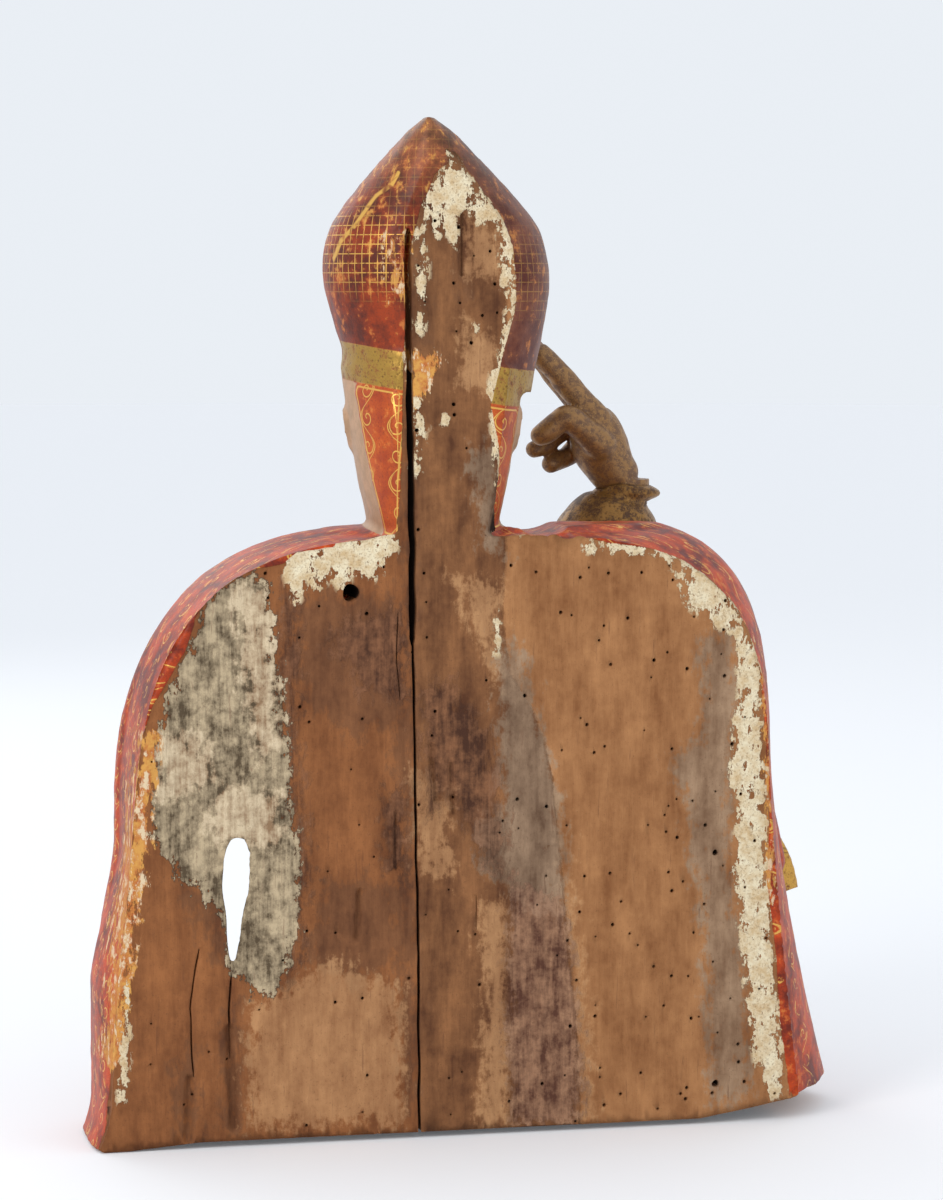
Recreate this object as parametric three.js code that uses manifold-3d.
// Wooden bust of a mitred bishop in a cope, sawn flat at the back, with a raised blessing hand.
// Millimetres, +Z up. The figure looks along -Y, its left is +X, and the sawn back is a plane of Y.

import * as THREE from 'three';
import { mergeVertices } from 'three/addons/utils/BufferGeometryUtils.js';
import Module from 'manifold-3d';

const wasm = await Module();
wasm.setup();

// Driving dimensions
const BACK_Y = 62; // the sawn plane behind the neck axis
const CHEST_DEPTH = 86; // chest in front of the neck axis
const LEFT_HALF = 209; // half-width of the cope at mid height
const RIGHT_HALF = 225;
const LEFT_CUT = 205; // half-width of the sawn board at mid height
const RIGHT_CUT = 207;
const LEFT_SHOULDER = 394; // heights of the two shoulders
const RIGHT_SHOULDER = 402;
const CUT_TOP = 388; // top of the sawn board beside the neck
const WIDEST_Y = -6; // where the shoulders are widest
const HEAD_SHIFT = 2.5; // the head sits a little left of the middle
const HEAD_TURN = -11; // degrees, towards the raised hand
const MITRE_HALF = 74.5; // widest part of the mitre
const MITRE_SHIFT = -4; // the mitre sits a little right on the head
const MITRE_LEAN = 6.5; // and its tips lean to the left
const MITRE_TOP = 654;
const BAND_HEIGHT = 490; // middle of the mitre's band
const BAND_TILT = 0.155; // its rise towards the left ear
const BAND_HALF = 12;
const WRIST_RADIUS = 16.5;
const CUFF_CENTRE = [-155, -96, 409];
const JOINT_GAP = 0.3;

const clamp01 = (v) => Math.min(1, Math.max(0, v));
const lerp = (a, b, t) => a + (b - a) * t;
const bell = (v, width) => Math.exp(-((v / width) ** 2));
const turnHead = THREE.MathUtils.degToRad(HEAD_TURN);

// Smooth curve through [where, value] pairs
function profile(pairs) {
  return (where) => {
    const last = pairs.length - 1;
    let i = 0;
    while (i < last - 1 && where > pairs[i + 1][0]) {
      i += 1;
    }
    const slope = (k) => {
      const a = pairs[Math.max(0, k - 1)];
      const b = pairs[Math.min(last, k + 1)];
      return (b[1] - a[1]) / (b[0] - a[0]);
    };
    const span = pairs[i + 1][0] - pairs[i][0];
    const t = clamp01((where - pairs[i][0]) / span);
    const t2 = t * t;
    const t3 = t2 * t;
    return (2 * t3 - 3 * t2 + 1) * pairs[i][1] + (t3 - 2 * t2 + t) * span * slope(i)
      + (3 * t2 - 2 * t3) * pairs[i + 1][1] + (t3 - t2) * span * slope(i + 1);
  };
}

// Closed skin over rings that have the same number of points, listed from the bottom up
function loft(rings) {
  const count = rings[0].length;
  const positions = [];
  const index = [];
  rings.forEach((ring) => ring.forEach((p) => positions.push(p.x, p.y, p.z)));
  for (let r = 0; r < rings.length - 1; r += 1) {
    for (let i = 0; i < count; i += 1) {
      const a = r * count + i;
      const b = r * count + (i + 1) % count;
      index.push(a, b, b + count, a, b + count, a + count);
    }
  }
  [[0, true], [rings.length - 1, false]].forEach(([r, down]) => {
    const middle = new THREE.Vector3();
    rings[r].forEach((p) => middle.addScaledVector(p, 1 / count));
    const hub = positions.length / 3;
    positions.push(middle.x, middle.y, middle.z);
    for (let i = 0; i < count; i += 1) {
      const a = r * count + i;
      const b = r * count + (i + 1) % count;
      index.push(...(down ? [b, a, hub] : [a, b, hub]));
    }
  });
  const geometry = new THREE.BufferGeometry();
  geometry.setAttribute('position', new THREE.Float32BufferAttribute(positions, 3));
  geometry.setIndex(index);
  return geometry;
}

function toSolid(geometry) {
  const bare = geometry.clone();
  bare.deleteAttribute('normal');
  bare.deleteAttribute('uv');
  const merged = mergeVertices(bare, 1e-4);
  return new wasm.Manifold(new wasm.Mesh({
    numProp: 3,
    vertProperties: new Float32Array(merged.attributes.position.array),
    triVerts: new Uint32Array(merged.index.array),
  }));
}

function toGeometry(solid) {
  const mesh = solid.getMesh();
  const geometry = new THREE.BufferGeometry();
  geometry.setAttribute('position', new THREE.Float32BufferAttribute(mesh.vertProperties, 3));
  geometry.setIndex([...mesh.triVerts]);
  return geometry;
}

function toMesh(name, solid, material) {
  const geometry = toGeometry(solid);
  geometry.computeVertexNormals();
  const node = new THREE.Mesh(geometry, material);
  node.name = name;
  return node;
}

const join = (solids) => solids.reduce((whole, piece) => whole.add(piece));

// Round bar along a list of [x, y, z, radius] stations, with domed ends
function bar(stations, sides) {
  const curve = new THREE.CatmullRomCurve3(stations.map((s) => new THREE.Vector3(...s)));
  const steps = stations.length * 2;
  const rings = [];
  const side = new THREE.Vector3();
  const up = new THREE.Vector3();
  for (let k = 0; k <= steps; k += 1) {
    const t = Math.sin(((k / steps) - 0.5) * Math.PI) * 0.5 + 0.5;
    const f = t * (stations.length - 1);
    const i = Math.min(stations.length - 2, Math.floor(f));
    const dome = k === 0 || k === steps ? 0.45 : 1;
    const radius = lerp(stations[i][3], stations[i + 1][3], f - i) * dome;
    const centre = curve.getPoint(t);
    const axis = curve.getTangent(t);
    side.crossVectors(axis, new THREE.Vector3(0, 1, 0)).normalize();
    up.crossVectors(side, axis).normalize();
    const ring = [];
    for (let j = 0; j < sides; j += 1) {
      const angle = (j / sides) * 2 * Math.PI;
      ring.push(centre.clone()
        .addScaledVector(side, radius * Math.cos(angle))
        .addScaledVector(up, -radius * Math.sin(angle)));
    }
    rings.push(ring);
  }
  return toSolid(loft(rings));
}

function ellipsoid(centre, radii, detail = 10) {
  const geometry = new THREE.SphereGeometry(1, detail, Math.round(detail * 0.7));
  geometry.scale(...radii);
  geometry.translate(...centre);
  return toSolid(geometry);
}

// Cope: sizes of its section at height z
function domed(width, z, start, top, power) {
  const u = clamp01((z - start) / (top - start));
  return width * (1 - u ** power) ** (1 / power);
}

function copeSection(z) {
  const hem = clamp01(1 - z / 240);
  const foot = clamp01(1 - z / 30) ** 2;
  const spread = THREE.MathUtils.smoothstep(195 - z, 0, 100);
  return {
    left: domed(LEFT_HALF + 20 * spread + 7 * foot, z, 180, LEFT_SHOULDER, 3),
    right: domed(RIGHT_HALF + 48 * hem ** 1.4, z, 205, RIGHT_SHOULDER, 4.1),
    leftCut: domed(LEFT_CUT + 17 * hem + 7 * foot, z, 180, CUT_TOP, 3),
    rightCut: domed(RIGHT_CUT + 22 * hem ** 1.3, z, 200, CUT_TOP, 3.4),
    front: domed(CHEST_DEPTH, z, 230, 398, 2.4) - 6 * hem,
    back: BACK_Y - 26 * clamp01((z - CUT_TOP + 3) / 12),
    hem,
  };
}

// The left border of the cope, as x at height z
const leftBorder = profile([[0, 82], [110, 66], [220, 40], [310, 24], [345, 34], [372, 60]]);
const LEFT_FOLD = 64;
const RIGHT_FOLD = 54;
const PLEAT = 34;

// How far the cloth stands out in front at x and z: hanging folds, and pleats between the borders
function folds(x, z) {
  const settle = clamp01((368 - z) / 130);
  const edge = leftBorder(z);
  if (x > edge) {
    return 9 * Math.cos((2 * Math.PI * (x - 76)) / LEFT_FOLD) * settle;
  }
  if (x > -46) {
    return -5 + 3.5 * Math.cos((2 * Math.PI * x) / PLEAT) * settle;
  }
  const drawn = x + (210 - z) * 0.3;
  return 8 * Math.cos((2 * Math.PI * (drawn + 130)) / RIGHT_FOLD) * settle;
}

// Where the front of the chest lies at x and z
function chestY(x, z) {
  const s = copeSection(z);
  const u = clamp01(Math.abs(x) / (x < 0 ? s.right : s.left));
  return WIDEST_Y - (s.front + WIDEST_Y) * (1 - u ** 2.3) ** (1 / 2.3) - folds(x, z);
}

function copeFront(z) {
  const s = copeSection(z);
  const points = [];
  for (let k = 0; k <= 240; k += 1) {
    const angle = (k / 240) * Math.PI;
    const cos = Math.cos(angle);
    const sin = Math.sin(angle);
    const half = cos > 0 ? s.right : s.left;
    const x = -Math.sign(cos) * half * Math.abs(cos) ** (2 / 2.3);
    const y = WIDEST_Y - (s.front + WIDEST_Y) * sin ** (2 / 2.3);
    const lift = folds(x, z) * sin ** 0.4;
    points.push(new THREE.Vector3(x - cos * lift, y - sin * lift, z));
  }
  return points;
}

// The same line with points at equal spacing
function evenly(points, count) {
  const lengths = [0];
  points.forEach((p, i) => i && lengths.push(lengths[i - 1] + p.distanceTo(points[i - 1])));
  const even = [];
  let i = 0;
  for (let k = 0; k <= count; k += 1) {
    const goal = (k / count) * lengths[points.length - 1];
    while (i < points.length - 2 && lengths[i + 1] < goal) {
      i += 1;
    }
    const t = clamp01((goal - lengths[i]) / (lengths[i + 1] - lengths[i] || 1));
    even.push(points[i].clone().lerp(points[i + 1], t));
  }
  return even;
}

const FRONT_STEPS = 54;
const WALL_STEPS = 5;

function copeRing(z) {
  const s = copeSection(z);
  const wall = (half, cut, sign, t, power) => {
    const x = half - (half - cut) * (1 - t) ** power;
    return new THREE.Vector3(sign * x, lerp(s.back, WIDEST_Y, t), z);
  };
  const ring = [];
  for (let k = 0; k < WALL_STEPS; k += 1) {
    ring.push(wall(s.right, s.rightCut, -1, k / WALL_STEPS, 1.8));
  }
  ring.push(...evenly(copeFront(z), FRONT_STEPS));
  for (let k = WALL_STEPS - 1; k >= 0; k -= 1) {
    ring.push(wall(s.left, s.leftCut, 1, k / WALL_STEPS, 1.8 + 4 * s.hem ** 3));
  }
  for (let k = 1; k < WALL_STEPS; k += 1) {
    ring.push(new THREE.Vector3(lerp(s.leftCut, -s.rightCut, k / WALL_STEPS), s.back, z));
  }
  return ring;
}

function cope() {
  const rings = [];
  const levels = 20;
  for (let k = 0; k <= levels; k += 1) {
    rings.push(copeRing(392 * Math.sin((k / levels) * Math.PI / 2)));
  }
  return toSolid(loft(rings));
}

// Flat band laid along a path of [x, y, z] points, its width turned up or across
function band(points, width, thickness, across) {
  const curve = new THREE.CatmullRomCurve3(points.map((p) => new THREE.Vector3(...p)));
  const steps = points.length * 3;
  const rings = [];
  for (let k = 0; k <= steps; k += 1) {
    const centre = curve.getPoint(k / steps);
    const along = curve.getTangent(k / steps);
    const out = new THREE.Vector3().crossVectors(along, new THREE.Vector3(...across)).normalize();
    const side = new THREE.Vector3().crossVectors(out, along).normalize();
    const corner = (w, h) => centre.clone().addScaledVector(side, w).addScaledVector(out, h);
    const half = width / 2;
    const edge = thickness / 2;
    rings.push([corner(-half, -edge), corner(half, -edge), corner(half, edge), corner(-half, edge)]);
  }
  return rings;
}

function outward(rings) {
  const solid = toSolid(loft(rings));
  return solid.volume() > 0 ? solid : toSolid(loft(rings.map((ring) => [...ring].reverse())));
}

// The right arm under the cope, the end of the cope thrown over it, and the sleeve that comes out
function sleeve() {
  const [cx, cy, cz] = CUFF_CENTRE;
  const arm = bar([
    [-150, -20, 345, 40], [-172, -48, 290, 48], [-176, -74, 225, 50], [-160, -92, 180, 42],
  ], 16);
  const forearm = bar([
    [-150, -88, 200, 50], [-140, -92, 270, 48], [-134, -94, 330, 44], [-138, -95, 368, 40],
    [-151, -96, 396, 27], [cx, cy, cz - 4, 21],
  ], 16);
  const cuff = bar([[cx + 1, cy, cz - 10, 22.5], [cx + 1, cy, cz - 1, 23.5], [cx, cy, cz + 5, 23]], 16);
  const thrown = bar([
    [-112, -108, 296, 30], [-176, -104, 250, 36], [-222, -86, 200, 28], [-244, -68, 132, 20],
  ], 12);
  return join([arm, forearm, cuff, thrown]);
}

// Rolled collar of the cope, lower in front
function collar() {
  const count = 26;
  const sides = 7;
  const positions = [];
  const index = [];
  for (let k = 0; k < count; k += 1) {
    const angle = (k / count) * 2 * Math.PI;
    const radius = 14 + 2 * Math.sin(angle * 5 + 0.6) + 1.3 * Math.sin(angle * 9);
    const height = 378 - 9 * (1 - Math.sin(angle)) - 7 * clamp01(-Math.cos(angle));
    for (let j = 0; j < sides; j += 1) {
      const turn = (j / sides) * 2 * Math.PI;
      const reach = radius * Math.cos(turn);
      positions.push((78 + reach) * Math.cos(angle), (72 + reach) * Math.sin(angle));
      positions.push(height + radius * Math.sin(turn));
      const next = k * sides + (j + 1) % sides;
      const over = ((k + 1) % count) * sides;
      index.push(k * sides + j, over + (j + 1) % sides, next);
      index.push(k * sides + j, over + j, over + (j + 1) % sides);
    }
  }
  const geometry = new THREE.BufferGeometry();
  geometry.setAttribute('position', new THREE.Float32BufferAttribute(positions, 3));
  geometry.setIndex(index);
  return toSolid(geometry);
}

// Borders of the cope: one falls to the hem, one is thrown over the raised forearm
function borders() {
  const onChest = (x, z) => [x, chestY(x + 2, z) - 1, z];
  const hanging = [372, 345, 310, 265, 220, 165, 110, 55, 0].map((z) => onChest(leftBorder(z), z));
  const left = band(hanging, 30, 10, [1, 0, 0.3]);
  const right = band([
    onChest(-62, 372), onChest(-38, 348), [-62, -116, 322], [-108, -142, 300], [-160, -146, 262],
    [-204, -124, 218], [-242, -95, 176], [-260, -82, 124],
  ], 40, 9, [0.6, 0, 0.8]);
  const clasp = new THREE.CylinderGeometry(25, 22, 14, 18);
  clasp.translate(-4, chestY(-4, 340) - 4, 340);
  return join([outward(left), outward(right), toSolid(clasp)]);
}

// Head, in its own frame with the face along -Y, turned afterwards
const headHalf = profile([[366, 38], [385, 42], [400, 45], [420, 49.5], [446, 54], [470, 57.5], [500, 61]]);
const headFront = profile([[366, 40], [380, 44], [390, 58], [400, 64], [425, 65], [446, 63], [470, 66], [500, 66]]);

function faceRelief(x, z) {
  const side = Math.abs(x);
  const noseFall = z > 419 ? clamp01((461 - z) / 40) : clamp01((z - 413) / 6);
  const nose = (4 + 13 * noseFall) * noseFall ** 0.3 * bell(x, 5 + 4 * noseFall);
  const brow = 3.5 * bell(z - 460 + 0.004 * (side - 18) ** 2, 4.5) * bell(side - 20, 20);
  const socket = -5 * bell(side - 20, 12) * bell(z - 449, 7);
  const lid = 4.5 * bell(side - 20, 8) * bell(z - 447, 4.5);
  const cheek = 2.5 * bell(side - 28, 14) * bell(z - 425, 12);
  const lips = 3.2 * bell(x, 13) * (bell(z - 409, 2.6) + bell(z - 402, 3));
  const chin = 5 * bell(x, 14) * bell(z - 391, 7);
  return nose + brow + socket + lid + cheek + lips + chin;
}

function headRing(z, count) {
  const half = headHalf(z);
  const front = headFront(z);
  const ring = [];
  for (let k = 0; k < count; k += 1) {
    const t = k / count;
    const angle = 2 * Math.PI * t + 0.5 * Math.cos(2 * Math.PI * t);
    const cos = Math.cos(angle);
    const sin = Math.sin(angle);
    const depth = sin < 0 ? 72 : front;
    const power = sin < 0 ? 1 : 2 / 2.15;
    const x = -half * Math.sign(cos) * Math.abs(cos) ** power;
    const relief = sin > 0.35 ? faceRelief(x, z) : 0;
    ring.push(new THREE.Vector3(x, -Math.sign(sin) * depth * Math.abs(sin) ** power - relief, z));
  }
  return ring;
}

function head() {
  const rings = [];
  for (let k = 0; k <= 18; k += 1) {
    rings.push(headRing(lerp(366, 496, k / 18), 32));
  }
  const ears = [-1, 1].map((s) => ellipsoid([s * 53, 2, 450], [4, 9, 14], 8));
  const lappets = [-1, 1].map((s) => outward([0, 0.25, 0.5, 0.75, 1].map((t) => {
    const z = lerp(480, 386, t);
    const from = lerp(14, 30, t);
    const to = lerp(58, 46, t);
    return [from, (from + to) / 2, to].map((deg) => [deg, 2])
      .concat([to, (from + to) / 2, from].map((deg) => [deg, -6]))
      .map(([deg, lift]) => {
        const a = THREE.MathUtils.degToRad(deg);
        const half = headHalf(z) + lift;
        return new THREE.Vector3(s * half * Math.sin(a), (72 + lift) * Math.cos(a), z);
      });
  })));
  return join([toSolid(loft(rings)), ...ears, ...lappets]);
}

// Mitre: widths of its pointed arch and depths of its two horns
const mitreHalf = profile([
  [486, 61], [500, 64], [520, 69], [552, MITRE_HALF], [582, 69.5], [604, 55], [627, 36], [645, 19],
  [MITRE_TOP, 5],
]);
const mitreDepth = profile([[486, 67], [510, 69], [550, 71], [582, 70], [604, 67.5], [638, 61], [MITRE_TOP, 55]]);

function mitre() {
  const rings = [];
  const levels = 12;
  for (let k = 0; k <= levels; k += 1) {
    const z = lerp(486, MITRE_TOP, k / levels);
    const lean = MITRE_SHIFT + MITRE_LEAN * (k / levels) ** 1.5;
    const ring = [];
    for (let j = 0; j < 30; j += 1) {
      const angle = (j / 30) * 2 * Math.PI;
      const power = 2 / 2.1;
      const x = Math.sign(Math.cos(angle)) * Math.abs(Math.cos(angle)) ** power;
      const y = Math.sign(Math.sin(angle)) * Math.abs(Math.sin(angle)) ** power;
      const foot = (1 - k / levels) ** 4 * BAND_TILT * mitreHalf(z) * x;
      ring.push(new THREE.Vector3(mitreHalf(z) * x + lean, mitreDepth(z) * y, z + foot));
    }
    rings.push(ring);
  }
  const notch = new THREE.Shape();
  notch.moveTo(-44, MITRE_TOP + 8);
  notch.lineTo(-12, 606);
  notch.lineTo(0, 602);
  notch.lineTo(12, 606);
  notch.lineTo(44, MITRE_TOP + 8);
  notch.closePath();
  const cleft = new THREE.ExtrudeGeometry(notch, { depth: 200, bevelEnabled: false });
  cleft.translate(0, 0, -100);
  cleft.rotateX(Math.PI / 2);
  cleft.rotateZ(Math.PI / 2);
  const headband = [];
  [-1, 1].forEach((level) => {
    const ring = [];
    for (let j = 0; j < 28; j += 1) {
      const angle = (j / 28) * 2 * Math.PI;
      const x = 1 + 60 * Math.cos(angle);
      const y = 70 * Math.sin(angle);
      ring.push(new THREE.Vector3(x, y, BAND_HEIGHT + BAND_TILT * x + level * BAND_HALF));
    }
    headband.push(ring);
  });
  return toSolid(loft(rings)).subtract(toSolid(cleft)).add(toSolid(loft(headband)));
}

// Sawn back, crack, peg hole, worn hole and worn underside
function block(size, centre) {
  const geometry = new THREE.BoxGeometry(...size);
  geometry.translate(...centre);
  return toSolid(geometry);
}

function slot(top, bottom, width, depth) {
  const corners = (p) => [
    new THREE.Vector3(p[0] - width / 2, BACK_Y - depth, p[1]),
    new THREE.Vector3(p[0] + width / 2, BACK_Y - depth, p[1]),
    new THREE.Vector3(p[0] + width / 2, BACK_Y + 20, p[1]),
    new THREE.Vector3(p[0] - width / 2, BACK_Y + 20, p[1]),
  ];
  return toSolid(loft([corners(bottom), corners(top)]));
}

function wornHole() {
  const outline = (scaleX, scaleZ, x, z, y) => {
    const ring = [];
    for (let k = 0; k < 16; k += 1) {
      const angle = (k / 16) * 2 * Math.PI;
      const rise = Math.sin(angle);
      const narrow = 0.55 + 0.45 * clamp01((rise + 1) / 1.6);
      const across = Math.sign(Math.cos(angle)) * Math.abs(Math.cos(angle)) ** 0.75;
      ring.push(new THREE.Vector3(x + scaleX * across * narrow, y, z + scaleZ * rise));
    }
    return ring;
  };
  return outward([
    outline(11.5, 45, 142.5, 155, BACK_Y + 10),
    outline(12.5, 47, 140, 155, BACK_Y - 12),
    outline(20, 64, 125, 150, 0),
    outline(32, 86, 104, 141, -130),
  ]);
}

// Wear of the underside, as [x, lift at the back, lift at the front]
const WEAR = [
  [-300, 70, 62], [-270, 38, 16], [-250, 24, 2], [-224, 14, -0.5], [-197, 9, -0.5], [-163, 3.5, -0.5],
  [166, 3.8, -0.5], [212, 0.1, -0.5], [300, 0.1, -0.5],
];

function wear() {
  return outward(WEAR.map(([x, rear, front]) => [
    new THREE.Vector3(x, BACK_Y - 200, -20),
    new THREE.Vector3(x, BACK_Y + 30, -20),
    new THREE.Vector3(x, BACK_Y + 30, rear),
    new THREE.Vector3(x, BACK_Y, rear),
    new THREE.Vector3(x, -6, front),
    new THREE.Vector3(x, BACK_Y - 200, front),
  ]));
}

function pegHole() {
  const drill = new THREE.CylinderGeometry(6, 6, 60, 16);
  drill.translate(67.8, BACK_Y, 354);
  return toSolid(drill);
}

function bust() {
  const top = toSolid(toGeometry(head().add(mitre())).rotateZ(turnHead).translate(HEAD_SHIFT, 0, 0));
  const hollow = ellipsoid([-62, 0, 421], [34, 170, 36], 16); // the dip between neck and right shoulder
  const raised = join([cope().add(collar()).subtract(hollow), sleeve(), borders(), top]);
  const kept = raised.intersect(block([700, 400, 800], [0, BACK_Y - 200, 400]));
  const cuts = join([
    slot([30.7, 582], [27.8, 320], 5, 24),
    slot([27.8, 330], [23.5, -5], 2.2, 20),
    wornHole(),
    pegHole(),
    wear(),
  ]);
  return kept.subtract(cuts).subtract(handSeat());
}

// Blessing hand: wrist, palm, two raised fingers, a bent thumb and two folded fingers
function wristPlug(grow) {
  const [cx, cy, cz] = CUFF_CENTRE;
  const plug = new THREE.CylinderGeometry(WRIST_RADIUS + grow, WRIST_RADIUS + grow, 16 + 2 * grow, 16);
  plug.rotateX(Math.PI / 2);
  plug.translate(cx + 3, cy, cz - 2);
  return toSolid(plug);
}

function palm(grow) {
  const [cx, cy, cz] = CUFF_CENTRE;
  return bar([
    [cx + 3, cy, cz - 2, 15.5], [cx + 7, cy, cz + 5, 16], [cx + 14, cy, cz + 14, 17.5],
    [cx + 21, cy, cz + 27, 20], [cx + 26, cy, cz + 41, 18], [cx + 33, cy, cz + 53, 12],
  ].map(([x, y, z, radius]) => [x, y, z, radius + grow]), 14);
}

const handSeat = () => wristPlug(JOINT_GAP * 1.3).add(palm(JOINT_GAP * 1.3));

function hand() {
  const index = bar([
    [-132, -88, 452, 10.5], [-118, -88, 469, 9.8], [-106, -88, 483, 9], [-95, -88, 495, 8],
    [-85, -88, 506, 6.4],
  ], 8);
  const middle = bar([
    [-131, -104, 454, 10.5], [-116, -105, 472, 9.4], [-103, -105, 487, 8.6], [-91, -105, 500, 7.6],
    [-80, -104, 512, 6],
  ], 8);
  const thumb = bar([
    [-137, -86, 434, 12], [-122, -80, 446, 10.5], [-107, -77, 457, 9], [-94, -79, 449, 8],
    [-82, -83, 443, 5.6],
  ], 8);
  const ring = bar([
    [-128, -108, 448, 9], [-112, -110, 449, 8], [-97, -104, 438, 6.6], [-83, -96, 434, 5.4],
  ], 8);
  const little = bar([
    [-136, -112, 438, 9], [-122, -114, 435, 8.4], [-108, -108, 427, 7], [-96, -101, 423, 6.2],
  ], 8);
  return join([wristPlug(0), palm(0), index, middle, thumb, ring, little]);
}

const paint = new THREE.MeshStandardMaterial({ color: 0x9a5a38, roughness: 0.6, metalness: 0 });
const tarnish = new THREE.MeshStandardMaterial({ color: 0x6a4f30, roughness: 0.45, metalness: 0.2 });

const group = new THREE.Group();
group.add(toMesh('bust', bust(), paint));
group.add(toMesh('right_hand', hand(), tarnish));

export default group;
